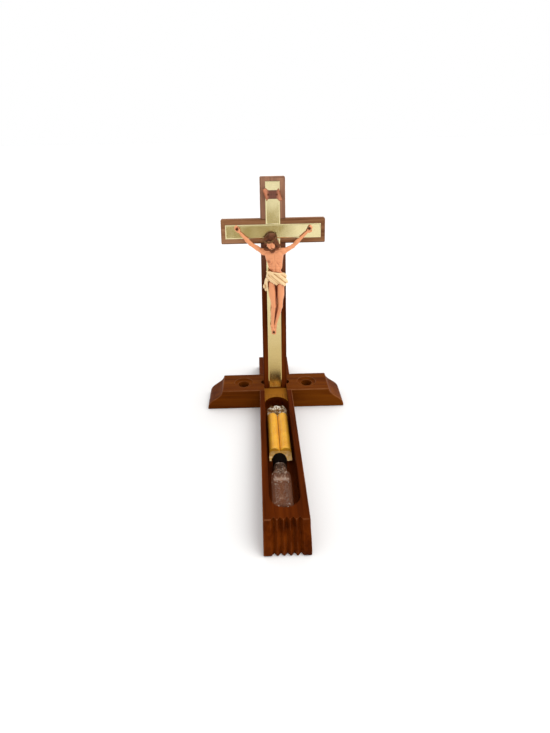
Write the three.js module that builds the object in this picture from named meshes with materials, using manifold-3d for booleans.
// A sick-call crucifix set: a hardwood base in the shape of a cross that holds two candles and a
// bottle, and a crucifix that stands in the mortise at the crossing or lies on the base as its lid.
// Millimetres, +Z up. The origin is under the crossing, on the surface the base stands on. The toe
// of the base points to -Y, its short rear arm to +Y and its side arms to -X and +X.
import * as THREE from "three";
import { mergeVertices } from "three/addons/utils/BufferGeometryUtils.js";
import Module from "manifold-3d";

const wasm = await Module();
wasm.setup();

// Driving dimensions.
const boardWidth = 42; // both boards of the base
const baseHeight = 25.6;
const armTopSpan = 140; // flat top of the base's crossbar, end to end
const toeTopReach = 231.2; // from the crossing to the top edge of the toe
const rearTopReach = 72.6; // from the crossing to the top edge of the rear arm
const armSlope = 19.5; // how far the moulded ends stand out at the foot
const toeSlope = 12.6;
const endLip = 2.6; // upright lip at the foot of a moulded end
const edgeRound = 1.3;
const glueLine = 0.1; // between glued faces
const lidMargin = 5.5; // strip of base left round the crucifix when it lies on it

const crucifixThickness = 10.6;
const crucifixRound = 1.7;
const mortiseFloor = 9;
const mortiseLength = 37.8;
const mortiseClearance = 0.3;

const channelWidth = 29.8; // the channel and the pocket in front of it
const channelDepth = 6.3;
const pocketRear = -27;
const pocketFront = -217.4;
const pocketFloor = 6;

const socketSpacing = 42.4; // from the crossing to a candle socket
const socketBore = 12.4;
const socketDish = 25;
const socketDishDepth = 2.3;
const socketDepth = 16;

const reedCount = 5;
const reedPitch = 5.8;
const reedDepth = 3.2;

const brassWidth = 17.6;
const brassProud = 0.8;
const brassSunk = 1.2;
const brassBevel = 1.3;

const candleDiameter = 12;
const candleLength = 68;
const candleFront = -127;
const wickDiameter = 1.6;
const wickStickOut = 6;
const filmOverhang = 9; // film past the wicks

const bottleWidth = 20;
const bottleDepth = 14.6;
const bottleBase = -210;
const bottleShift = -1.6; // the bottle lies a little to the left in the pocket
const capDiameter = 15;
const capLength = 13.5;
const capRear = -138;

// Sizes that follow.
const crucifixWidth = boardWidth - 2 * lidMargin;
const crucifixArmSpan = armTopSpan - 2 * lidMargin;
const crucifixFoot = mortiseFloor + 0.1;
const crossingHeight = crucifixFoot + toeTopReach - lidMargin;
const crucifixTop = crossingHeight + rearTopReach - lidMargin;
const crucifixFront = -crucifixThickness / 2;
const brassFront = crucifixFront - brassProud;
const channelFloor = baseHeight - channelDepth;

// Colours, as sRGB, with roughness and metalness.
const finishes = {
  baseWood: { color: 0x5e2c10, roughness: 0.45, metalness: 0 },
  crucifixWood: { color: 0x6e3518, roughness: 0.45, metalness: 0 },
  brass: { color: 0xc9ae6a, roughness: 0.25, metalness: 1 },
  scroll: { color: 0x8a4a26, roughness: 0.5, metalness: 0 },
  figure: { color: 0xe0a87c, roughness: 0.55, metalness: 0 },
  steel: { color: 0xb0aca0, roughness: 0.35, metalness: 1 },
  beeswax: { color: 0xe0a548, roughness: 0.5, metalness: 0 },
  wick: { color: 0xe9e2cd, roughness: 0.9, metalness: 0 },
  film: { color: 0xf4efe0, roughness: 0.1, metalness: 0 },
  glass: { color: 0xdfe8e4, roughness: 0.05, metalness: 0 },
  blackPlastic: { color: 0x17171a, roughness: 0.4, metalness: 0 },
  liner: { color: 0xe6e4dc, roughness: 0.7, metalness: 0 },
};

// Solids. A closed geometry becomes a solid for cutting and joining, and comes back as a geometry.
function solid(geometry) {
  const bare = geometry.index ? geometry.toNonIndexed() : geometry.clone();
  bare.deleteAttribute("normal");
  bare.deleteAttribute("uv");
  const merged = mergeVertices(bare, 1e-4);
  return new wasm.Manifold(
    new wasm.Mesh({
      numProp: 3,
      vertProperties: merged.attributes.position.array,
      triVerts: new Uint32Array(merged.index.array),
    }),
  );
}

function geometryOf(body) {
  const mesh = body.getMesh();
  const geometry = new THREE.BufferGeometry();
  geometry.setAttribute("position", new THREE.BufferAttribute(mesh.vertProperties, 3));
  geometry.setIndex(new THREE.BufferAttribute(mesh.triVerts, 1));
  const flat = geometry.toNonIndexed();
  flat.computeVertexNormals();
  return flat;
}

const axisX = new THREE.Vector3(1, 0, 0);
const axisY = new THREE.Vector3(0, 1, 0);
const axisZ = new THREE.Vector3(0, 0, 1);
const towardsFront = new THREE.Vector3(0, -1, 0);

// Outlines are drawn flat and stood up: in the XZ plane and pushed to the front, or in the YZ plane
// and pushed to the right.
const standXZ = new THREE.Matrix4().makeBasis(axisX, axisZ, towardsFront);
const standYZ = new THREE.Matrix4().makeBasis(axisY, axisZ, axisX);

function outline(points) {
  return new THREE.Shape(points.map(([a, b]) => new THREE.Vector2(a, b)));
}

// A board of the given outline, its long edges rounded over, centred on the plane of the outline.
function board(points, thickness, round, stand) {
  const geometry = new THREE.ExtrudeGeometry(outline(points), {
    depth: thickness - 2 * round,
    bevelEnabled: round > 0,
    bevelThickness: round,
    bevelSize: round,
    bevelOffset: -round,
    bevelSegments: 3,
  });
  geometry.translate(0, 0, round - thickness / 2);
  return solid(geometry.applyMatrix4(stand));
}

function box(x0, x1, y0, y1, z0, z1) {
  const geometry = new THREE.BoxGeometry(x1 - x0, y1 - y0, z1 - z0);
  return solid(geometry.translate((x0 + x1) / 2, (y0 + y1) / 2, (z0 + z1) / 2));
}

// A round solid about a line parallel to an axis: profile points are [radius, distance along].
function turned(profile, direction, [x, y, z], sides = 24) {
  const points = profile.map(([radius, along]) => new THREE.Vector2(radius, along));
  const turn = new THREE.Quaternion().setFromUnitVectors(axisY, direction);
  return solid(new THREE.LatheGeometry(points, sides).applyQuaternion(turn).translate(x, y, z));
}

function rod(radius, from, to, direction, place, sides = 16) {
  return turned([[0, from], [radius, from], [radius, to], [0, to]], direction, place, sides);
}

// A slot with half-round ends, cut straight down from above. It runs along X or along Y.
function slot(halfLength, halfWidth, [x, y], z0, z1, alongY) {
  const shape = new THREE.Shape();
  const reach = halfLength - halfWidth;
  shape.absarc(reach, 0, halfWidth, -Math.PI / 2, Math.PI / 2, false);
  shape.absarc(-reach, 0, halfWidth, Math.PI / 2, (3 * Math.PI) / 2, false);
  const geometry = new THREE.ExtrudeGeometry(shape, {
    depth: z1 - z0,
    bevelEnabled: false,
    curveSegments: 10,
  });
  if (alongY) geometry.rotateZ(Math.PI / 2);
  return solid(geometry.translate(x, y, z0));
}

// The moulded end of a base board: an S-curve that leaves the top edge steeply, runs out at the
// middle and comes down steeply to a small upright lip. Points are [stand-out, height].
function mouldedEnd(slope, steps = 10) {
  const sway = 0.75;
  const points = [];
  for (let i = 0; i <= steps; i += 1) {
    const s = i / steps;
    const out = s - (sway * Math.sin(2 * Math.PI * s)) / (2 * Math.PI);
    points.push([slope * out, baseHeight - s * (baseHeight - endLip)]);
  }
  points.push([slope, 0]);
  return points;
}

function baseBoard(backReach, frontReach, backSlope, frontSlope, stand) {
  const back = mouldedEnd(backSlope).map(([out, z]) => [backReach + out, z]);
  const front = mouldedEnd(frontSlope).map(([out, z]) => [-frontReach - out, z]);
  return board([...front, ...back.reverse()], boardWidth, edgeRound, stand);
}

// One V-shaped reed cut up the toe, following its moulding in longer steps.
function reed(x) {
  const rows = mouldedEnd(toeSlope, 7).map(([out, z]) => [-toeTopReach - out, z]);
  rows.unshift([rows[0][0], baseHeight + 1]);
  rows[rows.length - 1][1] = -1;
  const half = reedPitch / 2 - 0.15;
  const clear = 1.2;
  const spread = half * (1 + clear / reedDepth);
  const place = [];
  for (const [y, z] of rows) {
    place.push([x - spread, y - clear, z], [x + spread, y - clear, z], [x, y + reedDepth, z]);
  }
  const faces = [[0, 1, 2]];
  for (let row = 0; row < rows.length - 1; row += 1) {
    for (let corner = 0; corner < 3; corner += 1) {
      const a = row * 3 + corner;
      const b = row * 3 + ((corner + 1) % 3);
      faces.push([a, b + 3, b], [a, a + 3, b + 3]);
    }
  }
  const last = (rows.length - 1) * 3;
  faces.push([last, last + 2, last + 1]);
  const geometry = new THREE.BufferGeometry();
  geometry.setAttribute("position", new THREE.Float32BufferAttribute(place.flat(), 3));
  geometry.setIndex(faces.flat());
  return solid(geometry);
}

// Base.
function mortise() {
  const halfWidth = crucifixThickness / 2 + mortiseClearance;
  return slot(mortiseLength / 2, halfWidth, [0, 0], mortiseFloor, baseHeight + 5, false);
}

// The shallow channel is a hair narrower than the pocket, so that it runs out into its round end.
function channel() {
  const half = channelWidth / 2 - 0.15;
  return box(-half, half, pocketRear - channelWidth / 2 - 3, 0, channelFloor, baseHeight + 5);
}

function makeBaseLeg() {
  const half = boardWidth / 2;
  let leg = baseBoard(rearTopReach, toeTopReach, armSlope - 3, toeSlope, standYZ);
  const lap = box(-half - 1, half + 1, -half - glueLine, half + glueLine, baseHeight / 2, 40);
  const pocketHalf = (pocketRear - pocketFront) / 2;
  const pocketCentre = [0, (pocketRear + pocketFront) / 2];
  const pocket = slot(pocketHalf, channelWidth / 2, pocketCentre, pocketFloor, 40, true);
  leg = leg.subtract(lap).subtract(pocket).subtract(channel()).subtract(mortise());
  for (let i = 0; i < reedCount; i += 1) {
    leg = leg.subtract(reed((i - (reedCount - 1) / 2) * reedPitch));
  }
  return leg.subtract(hangerRecess());
}

function socketCutter(x) {
  const bore = socketBore / 2;
  const dish = socketDish / 2;
  const profile = [[0, -socketDepth], [bore, -socketDepth], [bore, -socketDishDepth]];
  const steps = 5;
  for (let i = 1; i <= steps; i += 1) {
    const s = i / steps;
    profile.push([bore + 1 + (dish - bore - 1) * s, -socketDishDepth * (1 - s * s)]);
  }
  profile.push([dish, 5], [0, 5]);
  return turned(profile, axisZ, [x, 0, baseHeight], 32);
}

function makeBaseCrossbar() {
  const half = boardWidth / 2;
  const reach = armTopSpan / 2;
  const bar = baseBoard(reach, reach, armSlope, armSlope, standXZ);
  const lapTop = baseHeight / 2 + glueLine;
  const lap = box(-half - glueLine, half + glueLine, -half - 1, half + 1, -5, lapTop);
  return bar
    .subtract(lap)
    .subtract(channel())
    .subtract(mortise())
    .subtract(socketCutter(-socketSpacing))
    .subtract(socketCutter(socketSpacing));
}

// Wall hanger: a keyhole plate let into the underside of the rear arm, with two screws.
const hangerCentre = 52;
const hangerThickness = 1.5;
const hangerScrewOffset = 11;

function hangerRecess() {
  const pad = 0.15;
  const y = hangerCentre;
  const pocket = box(-7 - pad, 7 + pad, y - 15 - pad, y + 15 + pad, -1, hangerThickness + 0.4);
  const nailRoom = slot(7, 4.5, [0, y], 0, 7, true);
  let cut = pocket.add(nailRoom);
  for (const side of [-1, 1]) {
    cut = cut.add(rod(1.35, 0, 9, axisZ, [0, y + side * hangerScrewOffset, 0]));
  }
  return cut;
}

function makeHangerPlate() {
  const y = hangerCentre;
  const plate = box(-7, 7, y - 15, y + 15, 0.25, 0.25 + hangerThickness);
  const eye = rod(3.6, -1, 5, axisZ, [0, y - 3, 0], 20);
  const neck = slot(4.5, 1.7, [0, y + 1.5], -1, 5, true);
  let pierced = plate.subtract(eye).subtract(neck);
  for (const side of [-1, 1]) {
    pierced = pierced.subtract(
      rod(1.5, -1, 5, axisZ, [0, y + side * hangerScrewOffset, 0]),
    );
  }
  return pierced;
}

// Screws and nails: a head on a plain shank. The head faces against the direction of driving.
function fastener(headRadius, headHeight, shankRadius, length, direction, place) {
  const profile = [
    [0, -headHeight],
    [headRadius * 0.6, -headHeight],
    [headRadius, -headHeight * 0.35],
    [headRadius, 0],
    [shankRadius, 0],
    [shankRadius, length - shankRadius * 2],
    [0, length],
  ];
  return turned(profile, direction, place, 16);
}

// Crucifix.
const crossHalf = crucifixWidth / 2;
const brassHalf = brassWidth / 2;
const brassEndMargin = (crucifixWidth - brassWidth) / 2 - 1.2;
const legPlateFoot = channelFloor + 0.4;

const plates = {
  cross: [
    -crucifixArmSpan / 2 + brassEndMargin,
    crucifixArmSpan / 2 - brassEndMargin,
    crossingHeight - brassHalf,
    crossingHeight + brassHalf,
  ],
  head: [
    -brassHalf,
    brassHalf,
    crossingHeight + brassHalf + glueLine,
    crucifixTop - brassEndMargin,
  ],
  leg: [-brassHalf, brassHalf, legPlateFoot, crossingHeight - brassHalf - glueLine],
};

function rectangle([x0, x1, z0, z1]) {
  return [[x0, z0], [x1, z0], [x1, z1], [x0, z1]];
}

function plateRecess([x0, x1, z0, z1]) {
  const gap = glueLine;
  const floor = crucifixFront + brassSunk + gap;
  return box(x0 - gap, x1 + gap, crucifixFront - 5, floor, z0 - gap, z1 + gap);
}

// A brass plate let into the wood, its face proud of it and bevelled all round.
function makePlate(place) {
  const [x0, x1, z0, z1] = place;
  const full = 2 * (brassProud + brassSunk);
  const plate = board(rectangle(place), full, 0, standXZ).translate(0, brassFront + full / 2, 0);
  const run = 30;
  const slopeCut = (outwards, x, z) => {
    const wedge = new THREE.BoxGeometry(run, run, 400).translate(run / 2, -run / 2, 0);
    const tilt = Math.atan2(brassProud, brassBevel);
    wedge.rotateZ(-tilt);
    wedge.translate(-brassBevel, 0, 0);
    wedge.rotateY(outwards);
    return solid(wedge.translate(x, brassFront, z));
  };
  const midX = (x0 + x1) / 2;
  const midZ = (z0 + z1) / 2;
  return plate
    .subtract(slopeCut(0, x1, midZ))
    .subtract(slopeCut(Math.PI, x0, midZ))
    .subtract(slopeCut(-Math.PI / 2, midX, z1))
    .subtract(slopeCut(Math.PI / 2, midX, z0))
    .subtract(box(x0 - 5, x1 + 5, crucifixFront + brassSunk, 10, z0 - 5, z1 + 5));
}

// Nails through the corpus, and pins through the title scroll: [x, z, shank radius].
const handNails = { left: [-44.4, 239.2], right: [44.0, 238.6] };
const footNail = [-1.2, 105.2];
const nailRadius = 0.9;
const titlePins = { left: -5.2, right: 5.2 };
const titleHeight = 280.4;
const pinRadius = 0.6;
const drillClearance = 0.15;

function drill(body, x, z, radius, depth) {
  const hole = rod(radius + drillClearance, -40, depth, axisY, [x, 0, z]);
  return body.subtract(hole);
}

function drillAll(body) {
  let drilled = body;
  for (const [x, z] of [...Object.values(handNails), footNail]) {
    drilled = drill(drilled, x, z, nailRadius, 2);
  }
  for (const x of Object.values(titlePins)) {
    drilled = drill(drilled, x, titleHeight, pinRadius, -1);
  }
  return drilled;
}

function makeUpright() {
  const place = [-crossHalf, crossHalf, crucifixFoot, crucifixTop];
  const upright = board(rectangle(place), crucifixThickness, crucifixRound, standXZ);
  const low = crossingHeight - crossHalf - glueLine;
  const high = crossingHeight + crossHalf + glueLine;
  const lap = box(-crossHalf - 1, crossHalf + 1, -20, glueLine, low, high);
  const cut = upright
    .subtract(lap)
    .subtract(plateRecess(plates.head))
    .subtract(plateRecess(plates.leg));
  return blockScrewHoles(drillAll(cut));
}

function makeCrucifixCrossbar() {
  const reach = crucifixArmSpan / 2;
  const place = [-reach, reach, crossingHeight - crossHalf, crossingHeight + crossHalf];
  const bar = board(rectangle(place), crucifixThickness, crucifixRound, standXZ);
  const reachIn = crossHalf + glueLine;
  const lap = box(-reachIn, reachIn, 0, 20, place[2] - 1, place[3] + 1);
  const cut = bar
    .subtract(lap)
    .subtract(plateRecess(plates.cross))
    .subtract(plateRecess(plates.head))
    .subtract(plateRecess(plates.leg));
  return drillAll(cut);
}

// Block on the back of the crucifix. It drops into the shallow channel when the crucifix lies on
// the base, and keeps it in place.
const blockTop = crossingHeight - mortiseClearance - crucifixThickness / 2 - 1;
const blockLength = 18;
const blockThickness = channelDepth - 0.5;
const blockScrews = { upper: blockTop - 4.5, lower: blockTop - blockLength + 4.5 };
const screwShank = 1.2;

function blockScrewHoles(body) {
  let holed = body;
  for (const z of Object.values(blockScrews)) {
    holed = holed.subtract(rod(screwShank + drillClearance, 0.1, 30, axisY, [0, 0, z]));
  }
  return holed;
}

function makeBlock() {
  const half = channelWidth / 2 - 0.6;
  const middle = crucifixThickness / 2 + glueLine + blockThickness / 2;
  const place = [-half, half, blockTop - blockLength, blockTop];
  const block = board(rectangle(place), blockThickness, 0.8, standXZ).translate(0, middle, 0);
  let holed = blockScrewHoles(block);
  const back = middle + blockThickness / 2;
  for (const z of Object.values(blockScrews)) {
    holed = holed.subtract(rod(2.5, back - 1.5, 30, axisY, [0, 0, z]));
  }
  return holed;
}

function makeBlockScrew(z) {
  const seat = crucifixThickness / 2 + glueLine + blockThickness - 1.4;
  const length = seat - 0.4;
  return fastener(2.2, 1.1, screwShank, length, towardsFront, [0, seat, z]);
}

// Title scroll: a thin curled sheet with flared ends.
function makeScroll() {
  const thickness = 0.9;
  const back = brassFront - 0.1;
  const reach = 12.6;
  const curl = (x) => {
    const past = Math.max(0, Math.abs(x) - 6.8) / (reach - 6.8);
    return 3.4 * past * past;
  };
  const steps = 16;
  const rear = [];
  const face = [];
  for (let i = 0; i <= steps; i += 1) {
    const x = -reach + (2 * reach * i) / steps;
    rear.push([x, back - curl(x)]);
    face.unshift([x, back - thickness - curl(x)]);
  }
  const depth = 30;
  const sheet = new THREE.ExtrudeGeometry(outline([...face.reverse(), ...rear.reverse()]), {
    depth,
    bevelEnabled: false,
  }).translate(0, 0, titleHeight - depth / 2);
  const ends = [];
  for (const side of [1, -1]) {
    ends.push(
      [side * 7, -side * 5.4],
      [side * 9.4, -side * 8.2],
      [side * 12.6, -side * 6.8],
      [side * 11.6, 0],
      [side * 12.6, side * 6.8],
      [side * 9.4, side * 8.2],
      [side * 7, side * 5.4],
    );
  }
  const flared = board(ends.map(([x, z]) => [x, titleHeight + z]), 60, 0, standXZ);
  return drillAll(solid(sheet).intersect(flared));
}

function makeTitlePin(x) {
  const face = brassFront - 1.0 - 0.1;
  return fastener(1.2, 0.6, pinRadius, 5, axisY, [x, face, titleHeight]);
}

// Corpus: a painted casting with a flat back, arms raised to the nails, head bowed to one side.
function ball(x, y, z, rx, ry = rx, rz = rx) {
  const geometry = new THREE.SphereGeometry(1, 10, 7).scale(rx, ry, rz);
  return solid(geometry.translate(x, y, z));
}

function limb(from, to, radiusFrom, radiusTo) {
  const start = new THREE.Vector3(...from);
  const along = new THREE.Vector3(...to).sub(start);
  const length = along.length();
  const geometry = new THREE.CylinderGeometry(radiusTo, radiusFrom, length, 8);
  geometry.translate(0, length / 2, 0);
  const turn = new THREE.Quaternion().setFromUnitVectors(axisY, along.normalize());
  return solid(geometry.applyQuaternion(turn).translate(...from));
}

// A chain of limbs with a ball at every joint: stations are [x, y, z, radius].
function chain(stations) {
  let made = null;
  stations.forEach(([x, y, z, radius], i) => {
    const knot = ball(x, y, z, radius);
    made = made ? made.add(knot) : knot;
    if (i > 0) {
      const [px, py, pz, previous] = stations[i - 1];
      made = made.add(limb([px, py, pz], [x, y, z], previous, radius));
    }
  });
  return made;
}

function makeCorpus() {
  const parts = [
    ball(0.8, -13.5, 204, 10.8, 6.2, 11), // chest
    ball(2.3, -13.4, 190, 8.8, 5.4, 10), // waist
    ball(2.6, -13.8, 176, 12.2, 8, 12), // hips in the cloth
    ball(-10.2, -11.6, 170, 3, 4, 12.4), // cloth hanging at one side
    ball(13, -12.4, 174, 3, 4.2, 7), // cloth flaring at the other
    chain([[0, -14.5, 211, 4], [-1.6, -16.8, 217, 3.8]]), // neck
    ball(-2.8, -17.6, 223.6, 7, 8.2, 10.6), // head
    ball(-3.6, -15, 222, 9.4, 6.6, 13.4), // hair
    ball(-9.4, -15.2, 216, 3.4, 4, 7),
    chain([
      [-12, -12.6, 209.6, 4.4],
      [-28.2, -10.6, 220.6, 3.4],
      [-40.2, -9.4, 234.2, 2.2],
      [-44.6, -9, 240.6, 2.6],
    ]),
    chain([
      [12, -12.6, 210, 4.4],
      [23.8, -10.8, 216.8, 3.5],
      [40.3, -9.4, 232.4, 2.2],
      [44.4, -9, 240.2, 2.6],
    ]),
    chain([
      [-2, -14.5, 165, 5.6],
      [-1.1, -18, 142, 4.4],
      [-3, -14.6, 124.6, 3.4],
      [-3, -12, 111, 2.6],
    ]),
    chain([
      [7.6, -14.5, 165, 5.6],
      [7.4, -17.4, 140.6, 4.4],
      [3.4, -13.8, 124, 3.4],
      [0.4, -11, 111.5, 2.6],
    ]),
    chain([[-1.4, -12, 109, 3], [-1.2, -13.6, 103, 2.8]]), // feet, one over the other
  ];
  const whole = parts.reduce((made, next) => made.add(next));
  const back = box(-80, 80, brassFront - 0.15, 40, 0, 400);
  return drillAll(whole.subtract(back));
}

function makeNail(x, z, surface) {
  const seat = -surface - 0.15;
  return fastener(1.9, 0.9, nailRadius, -seat + 1.2, axisY, [x, seat, z]);
}

// Candles: two wax candles with their wicks, side by side in a film sleeve.
const candleCentre = candleDiameter / 2 + 0.2;
const candleHeight = pocketFloor + candleDiameter / 2 + 0.6;

function makeCandle(side) {
  const bore = wickDiameter / 2 + 0.1;
  const radius = candleDiameter / 2;
  const profile = [
    [bore, 0],
    [radius - 0.5, 0],
    [radius, 0.5],
    [radius, candleLength - 2],
    [radius - 1.2, candleLength - 0.5],
    [bore, candleLength],
    [bore, 0],
  ];
  return turned(profile, axisY, [side * candleCentre, candleFront, candleHeight], 28);
}

function makeWick(side) {
  const place = [side * candleCentre, candleFront, candleHeight];
  return rod(wickDiameter / 2, 0.5, candleLength + wickStickOut, axisY, place, 10);
}

// The film sleeve, open at its ends. It hugs both candles, with the film straight across between.
function makeWrapper() {
  const section = (gap, length, start) => {
    const shape = new THREE.Shape();
    const radius = candleDiameter / 2 + gap;
    shape.absarc(candleCentre, 0, radius, -Math.PI / 2, Math.PI / 2, false);
    shape.absarc(-candleCentre, 0, radius, Math.PI / 2, (3 * Math.PI) / 2, false);
    const geometry = new THREE.ExtrudeGeometry(shape, {
      depth: length,
      bevelEnabled: false,
      curveSegments: 10,
    });
    return solid(geometry.rotateX(Math.PI / 2).translate(0, start, candleHeight));
  };
  const length = candleLength + wickStickOut + filmOverhang + 1;
  const rear = candleFront - 1 + length;
  return section(0.45, length, rear).subtract(section(0.15, length + 4, rear + 2));
}

// Bottle, lying on its back with its cap to the rear. A ring of the bottle is a rounded oblong:
// [distance along Y, half width, half depth, squareness].
const bottleHeight = pocketFloor + capDiameter / 2 + 0.4;
const neckRadius = 5.6;
const neckMouth = capRear - 3.6;

function lofted(rings) {
  const sides = 32;
  const place = [];
  const faces = [];
  for (const [y, halfWidth, halfDepth, squareness] of rings) {
    for (let i = 0; i < sides; i += 1) {
      const angle = (2 * Math.PI * i) / sides;
      const power = 2 / squareness;
      const x = Math.sign(Math.cos(angle)) * Math.abs(Math.cos(angle)) ** power * halfWidth;
      const z = Math.sign(Math.sin(angle)) * Math.abs(Math.sin(angle)) ** power * halfDepth;
      place.push([x + bottleShift, y, z + bottleHeight]);
    }
  }
  for (let ring = 0; ring < rings.length - 1; ring += 1) {
    for (let i = 0; i < sides; i += 1) {
      const a = ring * sides + i;
      const b = ring * sides + ((i + 1) % sides);
      faces.push([a, b + sides, b], [a, a + sides, b + sides]);
    }
  }
  const last = (rings.length - 1) * sides;
  for (let i = 1; i < sides - 1; i += 1) {
    faces.push([0, i, i + 1], [last, last + i + 1, last + i]);
  }
  const geometry = new THREE.BufferGeometry();
  geometry.setAttribute("position", new THREE.Float32BufferAttribute(place.flat(), 3));
  geometry.setIndex(faces.flat());
  return solid(geometry);
}

function makeBottle() {
  const halfWidth = bottleWidth / 2;
  const halfDepth = bottleDepth / 2;
  const shoulder = capRear - capLength - 15;
  const wall = 1.3;
  const outside = lofted([
    [bottleBase, halfWidth - 2, halfDepth - 2, 2.6],
    [bottleBase + 0.7, halfWidth - 0.7, halfDepth - 0.8, 3],
    [bottleBase + 2.4, halfWidth, halfDepth, 3.2],
    [shoulder - 3, halfWidth, halfDepth, 3.2],
    [shoulder + 1.5, halfWidth - 0.6, halfDepth - 0.3, 3],
    [shoulder + 5, halfWidth - 2.6, halfDepth - 1, 2.5],
    [shoulder + 8, neckRadius + 1, neckRadius + 0.6, 2.1],
    [shoulder + 10, neckRadius + 0.2, neckRadius + 0.2, 2],
    [shoulder + 12, neckRadius + 0.2, neckRadius + 0.2, 2],
    [shoulder + 12.6, neckRadius + 1.4, neckRadius + 1.4, 2],
    [shoulder + 14, neckRadius + 1.4, neckRadius + 1.4, 2],
    [shoulder + 14.6, neckRadius, neckRadius, 2],
    [neckMouth, neckRadius, neckRadius, 2],
  ]);
  const inside = lofted([
    [bottleBase + 2.2, halfWidth - wall - 1.6, halfDepth - wall - 1.6, 2.6],
    [bottleBase + 3.6, halfWidth - wall, halfDepth - wall, 3],
    [shoulder - 3, halfWidth - wall, halfDepth - wall, 3],
    [shoulder + 4.4, halfWidth - 4, halfDepth - 2.4, 2.5],
    [shoulder + 8.4, neckRadius - wall, neckRadius - wall, 2],
    [neckMouth + 2, neckRadius - wall, neckRadius - wall, 2],
  ]);
  return outside.subtract(inside);
}

// The cap, hollow and ribbed round its skirt, with a liner disc inside its end.
const ribCount = 28;

function makeCap() {
  const radius = capDiameter / 2;
  const shape = new THREE.Shape();
  for (let i = 0; i < ribCount * 2; i += 1) {
    const angle = (Math.PI * i) / ribCount;
    const reach = i % 2 ? radius - 0.45 : radius;
    const place = [Math.cos(angle) * reach, Math.sin(angle) * reach];
    if (i === 0) shape.moveTo(...place);
    else shape.lineTo(...place);
  }
  shape.closePath();
  const geometry = new THREE.ExtrudeGeometry(shape, {
    depth: capLength - 1.6,
    bevelEnabled: true,
    bevelThickness: 0.8,
    bevelSize: 0.8,
    bevelOffset: -0.8,
    bevelSegments: 2,
  });
  geometry.translate(0, 0, 0.8).rotateX(Math.PI / 2);
  const skirt = solid(geometry.translate(bottleShift, capRear, bottleHeight));
  const depth = capLength - 1.5;
  const bore = [bottleShift, capRear - capLength - 1, bottleHeight];
  return skirt.subtract(rod(neckRadius + 0.35, 0, depth + 1, axisY, bore, 28));
}

function makeLiner() {
  const front = neckMouth + 0.3;
  const place = [bottleShift, front, bottleHeight];
  return rod(neckRadius - 0.1, 0, capRear - 1.5 - 0.3 - front, axisY, place, 28);
}

const pieces = {
  base_leg: [makeBaseLeg(), finishes.baseWood],
  base_crossbar: [makeBaseCrossbar(), finishes.baseWood],
  hanger_plate: [makeHangerPlate(), finishes.brass],
  crucifix_upright: [makeUpright(), finishes.crucifixWood],
  crucifix_crossbar: [makeCrucifixCrossbar(), finishes.crucifixWood],
  brass_cross_plate: [drillAll(makePlate(plates.cross)), finishes.brass],
  brass_head_plate: [drillAll(makePlate(plates.head)), finishes.brass],
  brass_leg_plate: [drillAll(makePlate(plates.leg)), finishes.brass],
  title_scroll: [makeScroll(), finishes.scroll],
  corpus: [makeCorpus(), finishes.figure],
  foot_nail: [makeNail(footNail[0], footNail[1], 16.5), finishes.steel],
  locating_block: [makeBlock(), finishes.crucifixWood],
  candle_wrapper: [makeWrapper(), finishes.film],
  bottle_glass: [makeBottle(), finishes.glass],
  bottle_cap: [makeCap(), finishes.blackPlastic],
  cap_liner: [makeLiner(), finishes.liner],
};
for (const [side, [x, z]] of Object.entries(handNails)) {
  pieces["hand_nail_" + side] = [makeNail(x, z, 11.7), finishes.steel];
}
for (const [side, x] of Object.entries(titlePins)) {
  pieces["title_pin_" + side] = [makeTitlePin(x), finishes.brass];
}
for (const [place, z] of Object.entries(blockScrews)) {
  pieces["block_screw_" + place] = [makeBlockScrew(z), finishes.brass];
}
for (const [place, side] of Object.entries({ front: -1, rear: 1 })) {
  const seat = [0, hangerCentre + side * hangerScrewOffset, 0.2];
  const screw = fastener(1.35, 0.01, 1.1, 7.5, axisZ, seat);
  pieces["hanger_screw_" + place] = [screw, finishes.brass];
}
for (const [name, side] of Object.entries({ left: -1, right: 1 })) {
  pieces["candle_" + name] = [makeCandle(side), finishes.beeswax];
  pieces["wick_" + name] = [makeWick(side), finishes.wick];
}

const set = new THREE.Group();
set.name = "sick_call_set";
for (const [name, [body, finish]] of Object.entries(pieces)) {
  const mesh = new THREE.Mesh(geometryOf(body), new THREE.MeshStandardMaterial(finish));
  mesh.name = name;
  set.add(mesh);
}

export default set;
